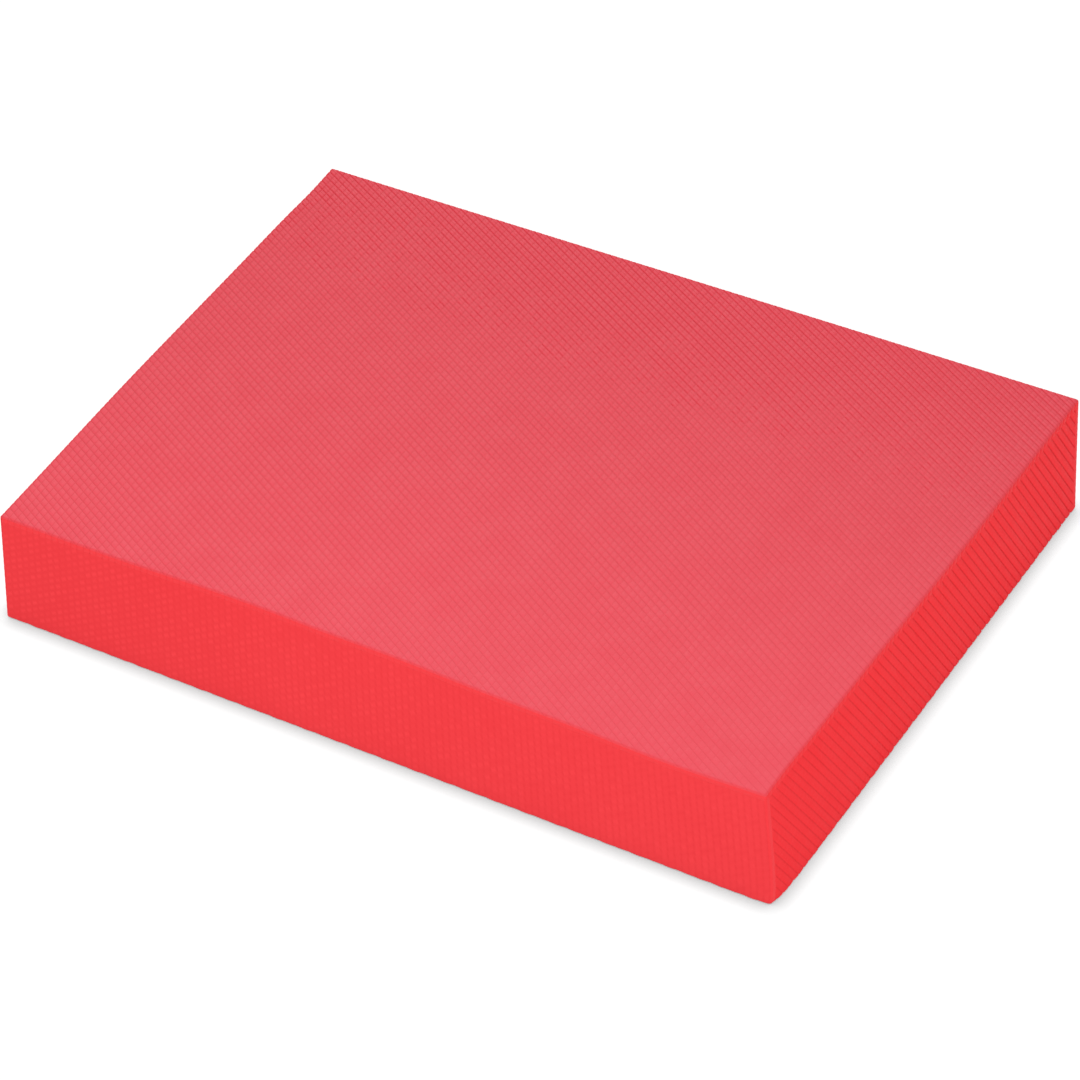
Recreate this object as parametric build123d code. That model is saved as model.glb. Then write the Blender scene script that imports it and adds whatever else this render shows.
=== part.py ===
from build123d import *
import os

# Balance pad for standing exercises: a block of closed-cell foam, 400 x 300 x 62 mm.
# Four plain foam slabs are laminated into a core.  An embossed foam strip is bonded to each side
# of the core, a bottom skin closes the underside between the strips, and a top skin lies over
# the slabs and over the upper ends of all four strips, so that its rounded rim runs all round.
# Millimetres.  +X runs along the pad's length, +Y from its front to its back, +Z up.
# The origin is the centre of the underside, where the pad stands on the floor.

# ---- driving dimensions ----
PAD_LENGTH = 400.0
PAD_WIDTH = 300.0
SKIN_THICKNESS = 3.0
STRIP_THICKNESS = 3.0
SLAB_THICKNESS = 14.0
SLAB_COUNT = 4

CORNER_RADIUS = 1.5  # the pad's four upright corners, seen from above
TOP_RIM_RADIUS = 1.2  # rolled rim of the top skin
FOOT_RADIUS = 1.0  # softened lower edge of the side strips

# ---- dimensions that follow ----
CORE_LENGTH = PAD_LENGTH - 2 * STRIP_THICKNESS
CORE_WIDTH = PAD_WIDTH - 2 * STRIP_THICKNESS
STRIP_HEIGHT = SKIN_THICKNESS + SLAB_COUNT * SLAB_THICKNESS
PAD_HEIGHT = STRIP_HEIGHT + SKIN_THICKNESS

ON_FLOOR = (Align.CENTER, Align.CENTER, Align.MIN)


def sheet(length, width, height, base):
    """A flat rectangular piece of foam centred on the pad's axis, its lower face at height base."""
    return Pos(0, 0, base) * Box(length, width, height, align=ON_FLOOR)


def rounded_block(height, base):
    """The pad's whole outline, with its four upright corners rounded, from base upwards."""
    block = sheet(PAD_LENGTH, PAD_WIDTH, height, base)
    return fillet(block.edges().filter_by(Axis.Z), CORNER_RADIUS)


def make_top_skin():
    """Top skin: covers the core and the strips, its upper edge rolled over all the way round."""
    skin = rounded_block(SKIN_THICKNESS, STRIP_HEIGHT)
    upper_rim = skin.edges().group_by(Axis.Z)[-1]
    return fillet(upper_rim, TOP_RIM_RADIUS)


def make_bottom_skin():
    """Bottom skin: lies between the side strips, flush with their lower edges."""
    return sheet(CORE_LENGTH, CORE_WIDTH, SKIN_THICKNESS, 0)


def make_core_slab(level):
    """One slab of the laminated core, counted from the bottom."""
    base = SKIN_THICKNESS + level * SLAB_THICKNESS
    return sheet(CORE_LENGTH, CORE_WIDTH, SLAB_THICKNESS, base)


def make_side_wall():
    """The four side strips as one ring, with a softened foot, before it is cut at the corners."""
    outer = rounded_block(STRIP_HEIGHT, 0)
    foot = outer.edges().group_by(Axis.Z)[0]
    outer = fillet(foot, FOOT_RADIUS)
    return outer - sheet(CORE_LENGTH, CORE_WIDTH, STRIP_HEIGHT, 0)


def cut_strip(wall, length, width, x, y):
    """The part of the wall inside a box of the given plan size, centred at (x, y)."""
    return wall & Pos(x, y, 0) * Box(length, width, STRIP_HEIGHT, align=ON_FLOOR)


def make_side_strips():
    """Front and back strips run the full length; the left and right strips fit between them."""
    wall = make_side_wall()
    x = (PAD_LENGTH - STRIP_THICKNESS) / 2
    y = (PAD_WIDTH - STRIP_THICKNESS) / 2
    return {
        "front_strip": cut_strip(wall, PAD_LENGTH, STRIP_THICKNESS, 0, -y),
        "back_strip": cut_strip(wall, PAD_LENGTH, STRIP_THICKNESS, 0, y),
        "left_strip": cut_strip(wall, STRIP_THICKNESS, CORE_WIDTH, -x, 0),
        "right_strip": cut_strip(wall, STRIP_THICKNESS, CORE_WIDTH, x, 0),
    }


nodes = {"top_skin": make_top_skin(), "bottom_skin": make_bottom_skin()}
nodes.update(make_side_strips())
for level in range(SLAB_COUNT):
    nodes[f"core_slab_{level + 1}"] = make_core_slab(level)

os.makedirs("parts", exist_ok=True)
for name, shape in nodes.items():
    export_step(shape, f"parts/{name}.step")
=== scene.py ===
import math

import bmesh
import bpy
import numpy as np
from mathutils import Matrix, Vector


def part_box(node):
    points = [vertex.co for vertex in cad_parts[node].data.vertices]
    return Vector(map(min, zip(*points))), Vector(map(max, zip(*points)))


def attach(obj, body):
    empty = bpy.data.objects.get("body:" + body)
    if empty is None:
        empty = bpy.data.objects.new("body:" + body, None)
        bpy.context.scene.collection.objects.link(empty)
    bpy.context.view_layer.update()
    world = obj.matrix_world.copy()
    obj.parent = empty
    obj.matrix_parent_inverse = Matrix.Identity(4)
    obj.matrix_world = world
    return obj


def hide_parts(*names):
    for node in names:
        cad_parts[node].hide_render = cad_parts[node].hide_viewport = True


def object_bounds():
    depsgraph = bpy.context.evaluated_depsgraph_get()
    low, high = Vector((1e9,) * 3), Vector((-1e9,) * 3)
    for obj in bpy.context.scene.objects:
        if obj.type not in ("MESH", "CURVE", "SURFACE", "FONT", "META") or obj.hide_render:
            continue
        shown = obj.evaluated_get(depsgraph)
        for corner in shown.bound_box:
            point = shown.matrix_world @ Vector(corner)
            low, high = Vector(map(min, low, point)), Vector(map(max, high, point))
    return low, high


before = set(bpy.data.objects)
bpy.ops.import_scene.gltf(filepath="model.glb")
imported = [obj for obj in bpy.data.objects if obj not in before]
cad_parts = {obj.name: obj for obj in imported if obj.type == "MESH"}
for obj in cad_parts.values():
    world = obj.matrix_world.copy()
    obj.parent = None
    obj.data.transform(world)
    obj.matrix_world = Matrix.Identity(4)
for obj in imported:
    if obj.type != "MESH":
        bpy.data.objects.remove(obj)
size_at_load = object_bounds()

# A balance pad of closed-cell foam: four soft core slabs, wrapped in embossed sheets. The top sheet covers
# everything, four strips go round the sides, and the bottom sheet lies between the feet of the strips.
# Lengths are in metres and angles in radians, in the part's own frame: X along the long side, Y from front
# to back, Z up.

MM = 0.001
ALL_ROUND = ("-u", "+u", "-v", "+v")  # a sheet's sides, where u runs along it and v up
ENDS_AND_FOOT = ("-u", "+u", "-v")
FOOT = ("-v",)
RIM_RADIUS = 1.1 * MM        # where the top sheet turns down over the edge
STRIP_RADIUS = 1.1 * MM      # where a strip turns round a corner or under the foot
SLAB_RADIUS = 1.2 * MM       # the soft edges of a core slab
SEAM = 0.08 * MM             # the small bevel that a glued edge shows
PRESSED = 1.2 * MM           # how far from a glued edge the embossing starts to flatten
GLUED_RELIEF = 0.6           # the part of the embossing that is left at a glued edge
CREASE_SLOPE = (-1.0, 11)    # how the creases between the grooves grow, per metre along and up
CREASE_MOST = 3.0            # the most that they grow to, where 1 is at the sheet's centre
TURN_TINT_AND_WEAR_REACH = 2.5 * MM          # how far from a turned edge its painted tint for the side it turns to, and its wear, begin
TURNED = 0.5                 # a part of the sheet that faces outwards less than this has turned
CREASE = math.radians(50)    # a fold sharper than this is left crisp
ARC_CUTS = 4                 # rows of faces round a turned edge
CORNER_CUTS = 6              # straight cuts that round off a corner of the flat sheet
RELIEF_SEED = 7              # the draw of the bumps' heights
SLAB_STEP = 2 * MM           # mesh size along a core slab
SLAB_ROWS = 12               # and rows of mesh across it
SAW_PITCHES = (41 * MM, 17 * MM, 9 * MM)  # the lengths of the waves that the blade left
SAW_DIP = 0.3 * MM           # how deep the blade's marks are at most
MESH_ROOM = 4 * MM           # how much larger than its outline a flat sheet's mesh starts
WELD = 1e-6                  # points closer than this are one point
SLAB_WELD = 0.01 * MM        # the same, where a slab's two halves meet


# ------------------------------------------------------------------------------------ embossed sheet

class Grooves:
    """A family of straight, parallel grooves pressed into a sheet.

    The press bit deeper towards one side: slope says how much, per metre along and up.
    """

    def __init__(self, angle, pitch, width, depth, slope=(0, 0)):
        self.across = np.array([math.cos(angle), math.sin(angle)]) / pitch
        self.half_width = width / pitch / 2
        self.depth = depth
        self.slope = slope

    def count(self, u, v):
        """How many grooves lie between the sheet's centre and each point."""
        return self.across[0] * u + self.across[1] * v

    def press(self, u, v):
        """0 on top of the bumps, 1 at the bottom of a groove."""
        count = self.count(u, v)
        away = np.abs(count - np.round(count))
        return np.clip(1 - away / self.half_width, 0, 1)

    def bite(self, u, v):
        """How hard the press bit there, 1 at the sheet's centre."""
        return 1 + self.slope[0] * u + self.slope[1] * v

    def kept(self, facing):
        """What is left of a groove where the sheet turns: all if it runs over the edge, none if along it."""
        lean = facing[:, :2] @ (self.across / np.linalg.norm(self.across))
        return 1 - lean**2

    def lines(self, reach_u, reach_v):
        """Where a mesh needs its edges, as groove counts: at the bottom and both lips of every groove."""
        reach = abs(self.across[0]) * reach_u + abs(self.across[1]) * reach_v
        bottoms = np.arange(-math.ceil(reach) - 1, math.ceil(reach) + 2)
        lips = [-self.half_width, 0, self.half_width] if self.half_width < 0.5 else [0, 0.5]
        return (bottoms[:, None] + np.array(lips)).ravel()


class Emboss:
    """A sheet's pattern: deep main grooves and shallower cross grooves, with diamond bumps between them."""

    BEADING = 0.35           # how much of the main groove's depth is lost where a cross groove meets it
    UNEVEN = 0.05 * MM       # how much the bumps differ in height
    REPEAT = 64              # after this many rows and columns the bumps' heights repeat

    def __init__(self, main, cross):
        self.main = main
        self.cross = cross
        rng = np.random.default_rng(RELIEF_SEED)
        self.heights = rng.uniform(0, self.UNEVEN, (self.REPEAT, self.REPEAT))

    def depth(self, u, v, facing):
        """How far the surface lies under the tops of the bumps."""
        main = self.main.press(u, v)
        cross = self.cross.press(u, v)
        deep = main * self.main.depth * self.main.bite(u, v) * (1 - self.BEADING * cross)
        shallow = cross * self.cross.depth * self.cross.bite(u, v)
        pressed = np.maximum(deep * self.main.kept(facing), shallow * self.cross.kept(facing))
        row = np.floor(self.main.count(u, v)).astype(int) % self.REPEAT
        column = np.floor(self.cross.count(u, v)).astype(int) % self.REPEAT
        return pressed + self.heights[row, column] * (1 - np.maximum(main, cross)) * facing[:, 2] ** 2

    def flat_mesh(self, reach_u, reach_v):
        """A flat mesh whose edges follow the grooves, a little larger than the reach."""
        counts = np.meshgrid(
            self.main.lines(reach_u, reach_v), self.cross.lines(reach_u, reach_v), indexing="ij"
        )
        to_plane = np.linalg.inv(np.array([self.main.across, self.cross.across]))
        rows, columns = counts[0].shape
        plane = np.tensordot(to_plane, np.array(counts), axes=1).reshape(2, -1).T
        index = np.arange(rows * columns).reshape(rows, columns)
        corners = [index[:-1, :-1], index[1:, :-1], index[1:, 1:], index[:-1, 1:]]
        quads = np.stack(corners, -1).reshape(-1, 4)
        room = np.array([reach_u, reach_v]) + MESH_ROOM
        quads = quads[(np.abs(plane[quads].mean(1)) < room).all(1)]
        used, quads = np.unique(quads, return_inverse=True)
        points = np.zeros((len(used), 3))
        points[:, :2] = plane[used]
        flat = bpy.data.meshes.new("flat")
        flat.from_pydata(points.tolist(), [], quads.reshape(-1, 4).tolist())
        bm = bmesh.new()
        bm.from_mesh(flat)
        bpy.data.meshes.remove(flat)
        bm.normal_update()
        if sum(face.normal.z for face in bm.faces) < 0:
            bmesh.ops.reverse_faces(bm, faces=bm.faces[:])
        return bm


class Face:
    """Where a sheet lies on the pad: its outward, along and up directions, its half sizes and thickness."""

    def __init__(self, node, outward, along):
        low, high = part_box(node)
        size = high - low
        self.outward = Vector(outward)
        self.along = Vector(along)
        self.up = self.outward.cross(self.along)
        self.thickness = abs(size.dot(self.outward))
        self.half_u = abs(size.dot(self.along)) / 2
        self.half_v = abs(size.dot(self.up)) / 2
        self.centre = (low + high) / 2 + self.outward * self.thickness / 2

    def place(self, points):
        """Points given as (along, up, outward) from the face's centre, in the pad's frame."""
        axes = np.array([self.along, self.up, self.outward])
        return points @ axes + np.array(self.centre)


class Turn:
    """How a sheet turns over its edges: one radius and one depth, on the sides named in rolled.

    The other sides are cut square.
    """

    WAYS = {"-u": (-1, 0), "+u": (1, 0), "-v": (0, -1), "+v": (0, 1)}

    def __init__(self, face, radius, rolled, depth):
        self.radius = radius
        self.rolled = rolled
        self.quarter = radius * math.pi / 2
        self.reach = self.quarter + depth - radius
        half = {"u": face.half_u, "v": face.half_v}
        self.inner = {side: half[side[1]] - (radius if side in rolled else 0) for side in self.WAYS}
        self.outer = {side: self.inner[side] + (self.reach if side in rolled else 0) for side in self.WAYS}

    def over(self, value, axis):
        """How far each point lies past the line where the edge starts to turn, below 0 on the minus side."""
        past = np.maximum(value - self.inner["+" + axis], 0) * ("+" + axis in self.rolled)
        short = np.maximum(-self.inner["-" + axis] - value, 0) * ("-" + axis in self.rolled)
        return past - short

    def bend(self, u, v):
        """The points of the flat sheet, turned over the edges, and the way the sheet faces there."""
        past_u = self.over(u, "u")
        past_v = self.over(v, "v")
        past = np.hypot(past_u, past_v)
        lean_u = np.divide(past_u, past, out=np.zeros_like(past), where=past > 0)
        lean_v = np.divide(past_v, past, out=np.zeros_like(past), where=past > 0)
        past = np.minimum(past, self.reach)
        angle = np.minimum(past, self.quarter) / self.radius
        drop = self.radius * (1 - np.cos(angle)) + np.maximum(past - self.quarter, 0)
        out = self.radius * np.sin(angle)
        bent = np.stack([u - past_u + out * lean_u, v - past_v + out * lean_v, -drop], -1)
        facing = np.stack([np.sin(angle) * lean_u, np.sin(angle) * lean_v, np.cos(angle)], -1)
        return bent, facing

    def flatten(self, u, v):
        """The part of the embossing that is left: all of it inside, less at a glued edge."""
        left = np.ones_like(u)
        for side, (way_u, way_v) in self.WAYS.items():
            if side not in self.rolled:
                inside = self.outer[side] - (u * way_u + v * way_v)
                left *= 1 - (1 - GLUED_RELIEF) * np.clip(1 - inside / PRESSED, 0, 1)
        return left

    def turn_tint_and_wear(self, u, v, facing):
        """0 in the middle of the sheet, 0.5 where it starts to turn and 1 where it has turned. It sets where
        a turned edge takes the painted tint of the side it faces, and where it wears.
        """
        near = np.zeros_like(u)
        for side in self.rolled:
            way_u, way_v = self.WAYS[side]
            inside = self.inner[side] - (u * way_u + v * way_v)
            near = np.maximum(near, np.clip(1 - inside / TURN_TINT_AND_WEAR_REACH, 0, 1))
        return (near + np.hypot(facing[:, 0], facing[:, 1])) / 2

    def cut(self, bm, point, normal, clear):
        bmesh.ops.bisect_plane(
            bm,
            geom=bm.verts[:] + bm.edges[:] + bm.faces[:],
            plane_co=(*point, 0),
            plane_no=(*normal, 0),
            clear_outer=clear,
            dist=WELD,
        )

    def trim(self, bm):
        """Cuts the flat sheet to its outline, and adds rows of edges where it turns or flattens."""
        for side, way in self.WAYS.items():
            self.cut(bm, np.array(way) * self.outer[side], way, True)
        for side_u in ("-u", "+u"):
            for side_v in ("-v", "+v"):
                if side_u in self.rolled and side_v in self.rolled:
                    self.round_corner(bm, side_u, side_v)
        arc_rows = [self.quarter * row / ARC_CUTS for row in range(ARC_CUTS + 1)]
        for side, way in self.WAYS.items():
            for row in arc_rows if side in self.rolled else [-PRESSED]:
                self.cut(bm, np.array(way) * (self.inner[side] + row), way, False)

    def round_corner(self, bm, side_u, side_v):
        way_u = np.array(self.WAYS[side_u])
        way_v = np.array(self.WAYS[side_v])
        corner = way_u * self.inner[side_u] + way_v * self.inner[side_v]
        for step in range(CORNER_CUTS):
            angle = (step + 0.5) / CORNER_CUTS * math.pi / 2
            way = way_u * math.cos(angle) + way_v * math.sin(angle)
            self.cut(bm, corner + way * self.reach, way, True)


def outline(bm):
    return [edge for edge in bm.edges if edge.is_boundary]


def close_back(bm, facing, thickness):
    """Closes the open sheet: its rim goes on to the back, a little inwards where it was turned."""
    made = bmesh.ops.extrude_edge_only(bm, edges=outline(bm))["geom"]
    rim = [item for item in made if isinstance(item, bmesh.types.BMVert)]
    for vert in rim:
        lean = vert[facing]
        vert.co = (vert.co.x - SEAM * lean.x, vert.co.y - SEAM * lean.y, -thickness)
    bmesh.ops.remove_doubles(bm, verts=rim, dist=WELD)
    bmesh.ops.edgeloop_fill(bm, edges=outline(bm))


def mark_turned(bm, facing):
    """Gives what has turned over a long edge to the second material, and over an end to the third: copies of
    the foam painted with the light of the long sides and of the ends.
    """
    for face in bm.faces:
        lean = max((vert[facing] for vert in face.verts), key=lambda way: way.z)
        if lean.z < TURNED:
            face.material_index = 1 if abs(lean.y) > abs(lean.x) else 2


def crease(bm):
    """Smooth shading, except at folds sharper than CREASE."""
    for face in bm.faces:
        face.smooth = True
    for edge in bm.edges:
        edge.smooth = edge.calc_face_angle(0) < CREASE


def put_in_scene(name, bm, face):
    """Moves a form from its face's directions into the pad's frame, settles it and makes it an object."""
    places = settle(face.place(np.array([vert.co[:] for vert in bm.verts])))
    for vert, place in zip(bm.verts, places):
        vert.co = place
    bm.normal_update()
    crease(bm)
    mesh = bpy.data.meshes.new(name)
    bm.to_mesh(mesh)
    bm.free()
    piece = bpy.data.objects.new(name, mesh)
    bpy.context.scene.collection.objects.link(piece)
    return piece


def embossed_sheet(name, face, emboss, radius, rolled, turned_apart):
    """One closed sheet of foam: embossed outside, turned over some of its edges, flat on the glued side.

    Its points carry what the material needs: groove is how deep the press went, rim how near a turned edge
    is, row the count of main grooves, and fold how strong the creases between them are.
    """
    turn = Turn(face, radius, rolled, face.thickness - SEAM)
    reach_u = max(turn.outer["-u"], turn.outer["+u"])
    reach_v = max(turn.outer["-v"], turn.outer["+v"])
    bm = emboss.flat_mesh(reach_u, reach_v)
    turn.trim(bm)
    u, v = np.array([vert.co[:2] for vert in bm.verts]).T
    bent, facing = turn.bend(u, v)
    depth = emboss.depth(u, v, facing) * turn.flatten(u, v)
    bent -= facing * depth[:, None]
    lean_layer = bm.verts.layers.float_vector.new("facing")
    growth = 1 + CREASE_SLOPE[0] * u + CREASE_SLOPE[1] * v
    values = {
        "groove": depth / emboss.main.depth,
        "rim": turn.turn_tint_and_wear(u, v, facing),
        "row": emboss.main.count(u, v),
        "fold": np.clip(growth, 0, CREASE_MOST) * facing[:, 2] ** 2,
    }
    for vert, place, way in zip(bm.verts, bent, facing):
        vert.co = place
        vert[lean_layer] = way
    for attribute, numbers in values.items():
        layer = bm.verts.layers.float.new(attribute)
        for vert, number in zip(bm.verts, numbers):
            vert[layer] = number
    if turned_apart:
        mark_turned(bm, lean_layer)
    close_back(bm, lean_layer, face.thickness)
    bm.verts.layers.float_vector.remove(lean_layer)
    bmesh.ops.triangulate(bm, faces=bm.faces[:])
    return put_in_scene(name, bm, face)


def saw_marks(u, seed):
    """How far the blade that split the foam block dipped under the true face, across its run."""
    rng = np.random.default_rng(seed)
    dip = np.zeros_like(u)
    for pitch in SAW_PITCHES:
        dip += 1 + np.sin(2 * math.pi * (u / pitch + rng.uniform()))
    return dip * SAW_DIP / len(SAW_PITCHES) / 2


def core_slab(name, face, seed):
    """One slab of the core, sawn from a block: two faces with the marks of the blade, and soft edges."""
    whole = bmesh.new()
    for side in (1, -1):
        turn = Turn(face, SLAB_RADIUS, ALL_ROUND, face.thickness / 2)
        bm = bmesh.new()
        columns = round(2 * face.half_u / SLAB_STEP)
        bmesh.ops.create_grid(bm, x_segments=columns, y_segments=SLAB_ROWS, size=1)
        reach = np.array([turn.outer["+u"], turn.outer["+v"]]) + SLAB_STEP
        for vert in bm.verts:
            vert.co = (vert.co.x * reach[0], vert.co.y * reach[1], 0)
        turn.trim(bm)
        u, v = np.array([vert.co[:2] for vert in bm.verts]).T
        bent, facing = turn.bend(u, v)
        bent[:, 2] -= facing[:, 2] * saw_marks(u, seed + side)
        bent[:, 2] = (bent[:, 2] + face.thickness / 2) * side
        for vert, place in zip(bm.verts, bent):
            vert.co = place
        if side < 0:
            bmesh.ops.reverse_faces(bm, faces=bm.faces[:])
        half = bpy.data.meshes.new("half slab")
        bm.to_mesh(half)
        bm.free()
        whole.from_mesh(half)
        bpy.data.meshes.remove(half)
    rim = [vert for vert in whole.verts if vert.is_boundary]
    bmesh.ops.remove_doubles(whole, verts=rim, dist=SLAB_WELD)
    for vert in whole.verts:
        vert.co.z -= face.thickness / 2
    return put_in_scene(name, whole, face)


# -------------------------------------------------------------------------------------- shared shape

WIDER = 0.0162               # the right end is this much wider than the middle, and the left end narrower
FULLER = 0.032               # the foam's spring makes the pad this much thicker than its layers
THICKER = 0.030              # the right end is this much thicker than the middle, and the left end thinner
END_TWIST = 0.9 * MM         # the right end isn't square: its top leans out at the back and in at the front
SPLAY = 2.1 * MM             # how much further out the pad's two ends stand at the foot than at the top
LOW, HIGH = size_at_load
SOFT_REACH = 40 * MM         # how far a wave in an edge goes into the pad
FRONT_WAVES = (              # place along the edge from left to right, spread, rise
    (0.33, 0.13, 1.2 * MM),
    (0.53, 0.09, 0.8 * MM),
    (0.88, 0.10, -0.95 * MM),
)
RIGHT_WAVES = (              # place along the edge from front to back, spread, bulge
    (0.07, 0.06, -0.6 * MM),
    (0.62, 0.25, 1.0 * MM),
)
TUCK_ALONG = 2.8 * MM        # how far the foot of the front right corner is pulled in, along X
TUCK_DEEP = 0.8 * MM         # and along Y
TUCK_REACH = 7 * MM          # how far from the corner the pull goes
RIPPLES = (14.3 * MM, 8.1 * MM)  # the foot's edge isn't cut quite straight
RIPPLE = 0.09 * MM           # how far each of the two ripples goes in and out
RIPPLE_REACH = 5 * MM        # how far up from the foot the ripple goes


def wave(place, waves):
    return sum(size * np.exp(-(((place - middle) / spread) ** 2)) for middle, spread, size in waves)


def ripple(place):
    return RIPPLE * sum(np.sin(2 * math.pi * place / length) for length in RIPPLES)


def settle(points):
    """The pad is soft and cut by hand, so it isn't a perfect block.

    Every piece takes the same shift, so the seams stay closed.
    """
    x, y, z = points.T
    along = x / HIGH.x
    deep = y / HIGH.y
    tall = z / HIGH.z
    front = np.exp((LOW.y - y) / SOFT_REACH) * tall**2
    back = np.exp((y - HIGH.y) / SOFT_REACH) * tall**2
    right = np.exp((x - HIGH.x) / SOFT_REACH) * tall**2
    left = np.exp((LOW.x - x) / SOFT_REACH) * tall**2
    rise_front = wave((1 + along) / 2, FRONT_WAVES) * front
    rise_back = wave((1 - along) / 2, FRONT_WAVES) * back
    bulge_right = wave((1 + deep) / 2, RIGHT_WAVES) * right
    bulge_left = wave((1 - deep) / 2, RIGHT_WAVES) * left
    corner = np.exp(-np.hypot(HIGH.x - x, y - LOW.y) / TUCK_REACH - z / TUCK_REACH)
    foot = np.exp(-z / RIPPLE_REACH)
    splay = along * (1 - tall) * SPLAY + END_TWIST * np.maximum(along, 0) * deep * (2 * tall - 1)
    return np.stack([
        x + splay + bulge_right - bulge_left - TUCK_ALONG * corner + along * foot * ripple(y),
        y * (1 + WIDER * along) + rise_front - rise_back + TUCK_DEEP * corner + deep * foot * ripple(x),
        z * (1 + FULLER + THICKER * along) + rise_front + rise_back,
    ], -1)


# ----------------------------------------------------------------------------------------- materials

class Recipe:
    """A material's node tree, with short calls for the nodes that the foams share."""

    def __init__(self, name):
        self.material = bpy.data.materials.new(name)
        self.material.use_nodes = True
        self.tree = self.material.node_tree
        self.tree.nodes.clear()
        output = self.node("OutputMaterial")
        self.shader = self.node("BsdfPrincipled")
        self.link(self.shader.outputs["BSDF"], output.inputs["Surface"])
        self.place = self.node("TexCoord").outputs["Object"]

    def node(self, kind):
        return self.tree.nodes.new("ShaderNode" + kind)

    def link(self, source, target):
        self.tree.links.new(source, target)

    def attribute(self, name):
        node = self.node("Attribute")
        node.attribute_name = name
        return node.outputs["Fac"]

    def noise(self, scale, detail=2, roughness=0.5, distortion=0):
        node = self.node("TexNoise")
        self.link(self.place, node.inputs["Vector"])
        node.inputs["Scale"].default_value = scale
        node.inputs["Detail"].default_value = detail
        node.inputs["Roughness"].default_value = roughness
        node.inputs["Distortion"].default_value = distortion
        return node.outputs["Fac"]

    def cells(self, scale):
        node = self.node("TexVoronoi")
        self.link(self.place, node.inputs["Vector"])
        node.inputs["Scale"].default_value = scale
        return node.outputs["Distance"]

    def band(self, value, low, high, to_low=0, to_high=1):
        node = self.node("MapRange")
        self.link(value, node.inputs["Value"])
        limits = {"From Min": low, "From Max": high, "To Min": to_low, "To Max": to_high}
        for name, number in limits.items():
            node.inputs[name].default_value = number
        return node.outputs["Result"]

    def times(self, first, second):
        node = self.node("Math")
        node.operation = "MULTIPLY"
        self.link(first, node.inputs[0])
        self.link(second, node.inputs[1])
        return node.outputs[0]

    def away(self, count):
        """How far a count is from the nearest whole number."""
        node = self.node("Math")
        node.operation = "PINGPONG"
        self.link(count, node.inputs[0])
        node.inputs[1].default_value = 0.5
        return node.outputs[0]

    def mix(self, amount, under, over):
        """Over laid on under by the amount. Each of the two is a colour or another node's output."""
        node = self.node("Mix")
        node.data_type = "RGBA"
        self.link(amount, node.inputs["Factor"])
        for value, socket in ((under, node.inputs["A"]), (over, node.inputs["B"])):
            if isinstance(value, tuple):
                socket.default_value = (*value, 1)
            else:
                self.link(value, socket)
        return node.outputs["Result"]

    def bump(self, height, depth, below=None):
        node = self.node("Bump")
        node.inputs["Strength"].default_value = 1
        node.inputs["Distance"].default_value = depth
        self.link(height, node.inputs["Height"])
        if below:
            self.link(below, node.inputs["Normal"])
        return node.outputs["Normal"]


# How many times a pattern repeats in a metre, and how deep its relief is.
PATCHES = 14
GLOSS_PATCHES = 70
WEAR = 160
GRAIN = 900
LEATHER = 1300
LEATHER_DEPTH = 0.05 * MM
PORES = 2600
PORE_DEPTH = 0.012 * MM
FOLD_DEPTH = 0.10 * MM
OPEN_CELLS = 1150
OPEN_CELL_DEPTH = 0.25 * MM
STREAKS = 45


def embossed_foam(
    name, tops, shade, edges, groove_shade, scuffs, painted_groove_shade, crease_shade_and_dent=0, rim_wear=0.05, shine=0.04
):
    """Closed-cell foam with a pressed skin.

    Tops and shade are the bumps' two tints; edges is the tint of a turned edge, painted for the light of the
    side it turns to;
    the grooves' colour is painted shade, for the grooves and creases; scuffs are the paler foam of worn
    bumps and edges. A crease is a hairline between two grooves.
    """
    recipe = Recipe(name)
    patches = recipe.band(recipe.noise(PATCHES, detail=3), 0.35, 0.65)
    tint = recipe.mix(patches, tops, shade)
    # Painted light: as the sheet turns away from facing outwards its tint changes to edges, the colour
    # painted for the side it turns to; on the top sheet this takes the painted pink sheen off the rim.
    tint = recipe.mix(recipe.band(recipe.attribute("rim"), 0.4, 1.2), tint, edges)
    grain = recipe.band(recipe.noise(GRAIN, detail=3, roughness=0.65), 0.52, 0.78, 0, 0.30)
    tint = recipe.mix(grain, tint, scuffs)
    # Painted shade: the grooves are darkened towards the grooves' colour, the more the deeper the press
    # went.
    groove = recipe.attribute("groove")
    low = recipe.band(groove, 0.05, 0.85, 0, painted_groove_shade)
    tint = recipe.mix(low, tint, groove_shade)
    # Painted shade: a dark hairline in the crease midway between two main grooves, mixed towards the
    # grooves' colour; the same crease is also dented by the bump below.
    crease = recipe.band(recipe.away(recipe.attribute("row")), 0.38, 0.5)
    crease = recipe.times(crease, recipe.attribute("fold"))
    tint = recipe.mix(recipe.band(crease, 0, CREASE_MOST, 0, CREASE_MOST * crease_shade_and_dent), tint, groove_shade)
    worn = recipe.times(
        recipe.band(recipe.attribute("rim"), 0.25, 0.95),
        recipe.band(recipe.noise(WEAR, detail=4, roughness=0.7), 0.40, 0.66, 0.15 * rim_wear, rim_wear),
    )
    tint = recipe.mix(worn, tint, scuffs)
    recipe.link(tint, recipe.shader.inputs["Base Color"])
    gloss = recipe.band(recipe.noise(GLOSS_PATCHES, detail=4), 0.3, 0.7, 0.54, 0.60)
    recipe.link(gloss, recipe.shader.inputs["Roughness"])
    pores = recipe.bump(recipe.cells(PORES), PORE_DEPTH)
    folds = recipe.band(crease, 0, CREASE_MOST, CREASE_MOST * crease_shade_and_dent, 0)
    pores = recipe.bump(folds, FOLD_DEPTH, below=pores)
    leather = recipe.bump(recipe.noise(LEATHER, detail=4, roughness=0.6), LEATHER_DEPTH, below=pores)
    recipe.link(leather, recipe.shader.inputs["Normal"])
    recipe.shader.inputs["Specular IOR Level"].default_value = shine
    return recipe.material


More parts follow.
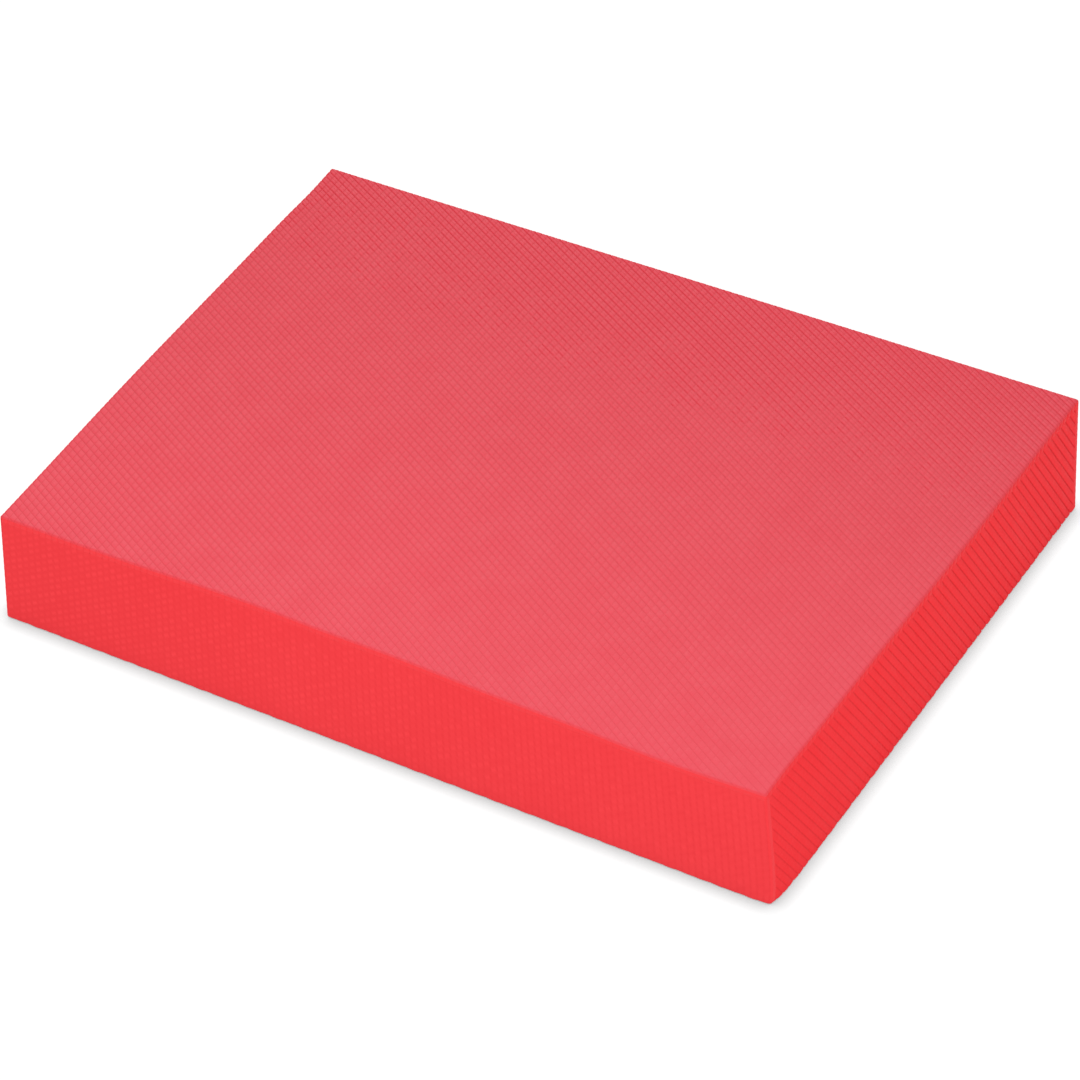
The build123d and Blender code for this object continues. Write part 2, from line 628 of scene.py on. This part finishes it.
def cut_foam():
    """The inside of the foam, where a blade opened its cells."""
    recipe = Recipe("cut foam")
    # Painted shade: darker in the hollows of the open cells and paler on their walls.
    cells = recipe.band(recipe.cells(OPEN_CELLS), 0.05, 0.60)
    tint = recipe.mix(cells, (0.56, 0.035, 0.045), (0.86, 0.16, 0.17))
    streaks = recipe.band(recipe.noise(STREAKS, detail=4, distortion=1.5), 0.40, 0.70, 0, 0.35)
    tint = recipe.mix(streaks, tint, (0.78, 0.10, 0.11))
    recipe.link(tint, recipe.shader.inputs["Base Color"])
    recipe.link(recipe.band(cells, 0, 1, 0.92, 0.78), recipe.shader.inputs["Roughness"])
    recipe.link(recipe.bump(cells, OPEN_CELL_DEPTH), recipe.shader.inputs["Normal"])
    recipe.shader.inputs["Specular IOR Level"].default_value = 0.2
    return recipe.material


# ---------------------------------------------------------------------------------------- the pieces

DIAMOND = Emboss(
    Grooves(math.radians(60), 3.43 * MM, 0.75 * MM, 0.295 * MM, slope=(-0.8, 2.2)),
    Grooves(math.radians(0), 3.43 * MM, 0.75 * MM, 0.165 * MM, slope=(-2.0, 1.6)),
)
COLUMN = Emboss(
    Grooves(math.radians(0), 3.43 * MM, 1.90 * MM, 0.085 * MM, slope=(-1.0, 0)),
    Grooves(math.radians(-60), 3.40 * MM, 3.40 * MM, 0.05 * MM, slope=(-3.0, 0)),
)
SLANTED = Emboss(
    Grooves(math.radians(35), 3.77 * MM, 1.15 * MM, 0.44 * MM, slope=(2.2, 0)),
    Grooves(math.radians(88), 3.20 * MM, 3.20 * MM, 0.03 * MM),
)

# Painted sheen: the top sheet's foam is tinted pinker than the strips', for the sheen of the light on the
# top.
SKIN_WITH_PAINTED_SHEEN = embossed_foam(
    "foam skin with painted sheen",
    tops=(0.880, 0.065, 0.097),
    shade=(0.870, 0.062, 0.093),
    edges=(0.870, 0.034, 0.041),
    groove_shade=(0.720, 0.026, 0.040),
    scuffs=(0.900, 0.095, 0.120),
    painted_groove_shade=0.68,
    crease_shade_and_dent=0.32,
    shine=0.35,
)
# Painted light: the top sheet where it has turned over a long side, tinted like the long strips for the
# light on that side.
RIM_PAINTED_AS_LONG_SIDE = embossed_foam(
    "foam skin with painted sheen, turned down",
    tops=(0.890, 0.051, 0.060),
    shade=(0.875, 0.047, 0.056),
    edges=(0.890, 0.049, 0.058),
    groove_shade=(0.700, 0.018, 0.024),
    scuffs=(0.900, 0.070, 0.080),
    painted_groove_shade=0.45,
)
# Painted light: the top sheet where it has turned over an end, tinted like the end strips for the light on
# the ends.
RIM_PAINTED_AS_END = embossed_foam(
    "foam skin with painted sheen, turned down at an end",
    tops=(0.885, 0.037, 0.045),
    shade=(0.870, 0.034, 0.042),
    edges=(0.885, 0.039, 0.047),
    groove_shade=(0.680, 0.013, 0.019),
    scuffs=(0.900, 0.060, 0.070),
    painted_groove_shade=0.60,
)
# Painted light: the same foam as the end strips, in a pinker red for the haze of light on the long sides,
# with light painted shade in its grooves.
LONG_STRIP_PAINTED_LIGHT = embossed_foam(
    "long strip foam, in its side's painted light",
    tops=(0.890, 0.051, 0.060),
    shade=(0.875, 0.047, 0.056),
    edges=(0.880, 0.043, 0.051),
    groove_shade=(0.700, 0.016, 0.022),
    scuffs=(0.900, 0.070, 0.080),
    painted_groove_shade=0.30,
    rim_wear=0.04,
)
# Painted light: the same foam as the long strips, in a deeper red for the ends' light with less haze, with
# dark painted shade in its grooves.
END_STRIP_PAINTED_LIGHT = embossed_foam(
    "end strip foam, in its side's painted light",
    tops=(0.890, 0.028, 0.036),
    shade=(0.875, 0.025, 0.032),
    edges=(0.890, 0.036, 0.043),
    groove_shade=(0.660, 0.010, 0.015),
    scuffs=(0.900, 0.055, 0.065),
    painted_groove_shade=0.72,
    rim_wear=0.10,
)
FOAM = cut_foam()


def finish_piece(piece, node, materials):
    """Gives a piece its materials, hangs it under the root body and hides the part that it stands for."""
    for material in materials:
        piece.data.materials.append(material)
    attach(piece, "root")
    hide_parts(node)
    print(piece.name, len(piece.data.polygons), "faces")


SLABS = 4
SLAB_SEEDS = 10              # each slab has its own saw marks
TURNED_SKIN = [SKIN_WITH_PAINTED_SHEEN, RIM_PAINTED_AS_LONG_SIDE, RIM_PAINTED_AS_END]
SHEETS = [                   # node, outward, along, pattern, radius, turned sides, slot, materials
    ("top_skin", (0, 0, 1), (1, 0, 0), DIAMOND, RIM_RADIUS, ALL_ROUND, "embossed_skin", TURNED_SKIN),
    ("bottom_skin", (0, 0, -1), (1, 0, 0), DIAMOND, RIM_RADIUS, (), "embossed_skin", [SKIN_WITH_PAINTED_SHEEN]),
    ("front_strip", (0, -1, 0), (1, 0, 0), COLUMN, STRIP_RADIUS, ENDS_AND_FOOT, "side_strip", [LONG_STRIP_PAINTED_LIGHT]),
    ("back_strip", (0, 1, 0), (-1, 0, 0), COLUMN, STRIP_RADIUS, ENDS_AND_FOOT, "side_strip", [LONG_STRIP_PAINTED_LIGHT]),
    ("right_strip", (1, 0, 0), (0, 1, 0), SLANTED, STRIP_RADIUS, FOOT, "side_strip", [END_STRIP_PAINTED_LIGHT]),
    ("left_strip", (-1, 0, 0), (0, -1, 0), SLANTED, STRIP_RADIUS, FOOT, "side_strip", [END_STRIP_PAINTED_LIGHT]),
]
for node, outward, along, emboss, radius, rolled, slot, materials in SHEETS:
    face = Face(node, outward, along)
    sheet = embossed_sheet(node + "_sheet", face, emboss, radius, rolled, len(materials) > 1)
    finish_piece(sheet, node, materials)
for number in range(1, SLABS + 1):
    node = f"core_slab_{number}"
    slab = core_slab(node + "_foam", Face(node, (0, 0, 1), (1, 0, 0)), SLAB_SEEDS * number)
    finish_piece(slab, node, [FOAM])


# -------------------------------------------------------------------------- floor, lights and camera

FLOOR_GLOW = 1.02            # the floor glows until it is white
CONTACT_REACH = 9 * MM       # how far from the pad its contact shadow goes
CONTACT_LIGHT = 0.25         # the part of the floor's glow that the contact shadow can't take away
CONTACT_SAMPLES = 3
FLOOR_HALF = 4
FLOOR_DROP = 0.2 * MM        # the floor lies this far under the pad
FLOOR_TINT = (0.04, 0.04, 0.04, 1)
WHITE = (1, 1, 1, 1)
SKY = 0.55                   # the strength of the even light from all round


def make_floor():
    """A white floor that glows, with a contact shadow painted into its glow close to the pad."""
    bm = bmesh.new()
    bmesh.ops.create_grid(bm, x_segments=1, y_segments=1, size=FLOOR_HALF)
    mesh = bpy.data.meshes.new("floor")
    bm.to_mesh(mesh)
    bm.free()
    floor = bpy.data.objects.new("floor", mesh)
    floor.location.z = -FLOOR_DROP
    bpy.context.scene.collection.objects.link(floor)
    recipe = Recipe("pale floor")
    recipe.shader.inputs["Base Color"].default_value = FLOOR_TINT
    recipe.shader.inputs["Roughness"].default_value = 0.9
    recipe.shader.inputs["Specular IOR Level"].default_value = 0
    recipe.shader.inputs["Emission Color"].default_value = WHITE
    open_sky = recipe.node("AmbientOcclusion")
    open_sky.samples = CONTACT_SAMPLES
    open_sky.inputs["Distance"].default_value = CONTACT_REACH
    glow = recipe.band(open_sky.outputs["AO"], 0, 1, FLOOR_GLOW * CONTACT_LIGHT, FLOOR_GLOW)
    recipe.link(glow, recipe.shader.inputs["Emission Strength"])
    mesh.materials.append(recipe.material)


def make_world():
    """Even white light from all round."""
    world = bpy.data.worlds.new("studio")
    world.use_nodes = True
    background = world.node_tree.nodes["Background"]
    background.inputs["Color"].default_value = WHITE
    background.inputs["Strength"].default_value = SKY
    bpy.context.scene.world = world


LIGHTS = (                   # name, place, size, power in watts
    ("haze", (-1.06, 1.52, 1.56), 1.3, 17.9),
    ("key", (-0.10, -0.60, 0.50), 0.35, 1.34),
    ("fill", (0.85, -0.45, 0.45), 0.5, 2.2),
)


def softbox(name, place, size, power):
    """A square light that looks at the middle of the pad."""
    data = bpy.data.lights.new(name, "AREA")
    data.size = size
    data.energy = power
    light = bpy.data.objects.new(name, data)
    light.location = place
    light.rotation_euler = Vector(place).to_track_quat("Z", "Y").to_euler()
    light.visible_camera = False
    bpy.context.scene.collection.objects.link(light)


VIEW_AZIMUTH = math.radians(30.86)
VIEW_ELEVATION = math.radians(40.74)
VIEW_ROLL = math.radians(-2.05)
SENSOR = 36                  # millimetres
VIEW_DISTANCE = 3.004        # metres
VIEW_LENS = 214.9            # millimetres
AIM_LEFT = 1.4 * MM          # how far to the left of the frame's origin the camera looks
AIM_UP = 11.7 * MM           # and how far above it


def make_camera():
    """A long lens that looks down at the pad over its front right corner."""
    data = bpy.data.cameras.new("camera")
    data.sensor_width = SENSOR
    data.lens = VIEW_LENS
    camera = bpy.data.objects.new("camera", data)
    bpy.context.scene.collection.objects.link(camera)
    back = Vector((
        math.sin(VIEW_AZIMUTH) * math.cos(VIEW_ELEVATION),
        -math.cos(VIEW_AZIMUTH) * math.cos(VIEW_ELEVATION),
        math.sin(VIEW_ELEVATION),
    ))
    level = Vector((0, 0, 1)).cross(back).normalized()
    upright = back.cross(level)
    right = math.cos(VIEW_ROLL) * level + math.sin(VIEW_ROLL) * upright
    up = back.cross(right)
    place = back * VIEW_DISTANCE - right * AIM_LEFT + up * AIM_UP
    turn = Matrix((right, up, back)).transposed().to_4x4()
    camera.matrix_world = Matrix.Translation(place) @ turn
    bpy.context.scene.camera = camera


make_floor()
make_world()
for name, place, size, power in LIGHTS:
    softbox(name, place, size, power)
make_camera()
bpy.context.scene.view_settings.view_transform = "Standard"
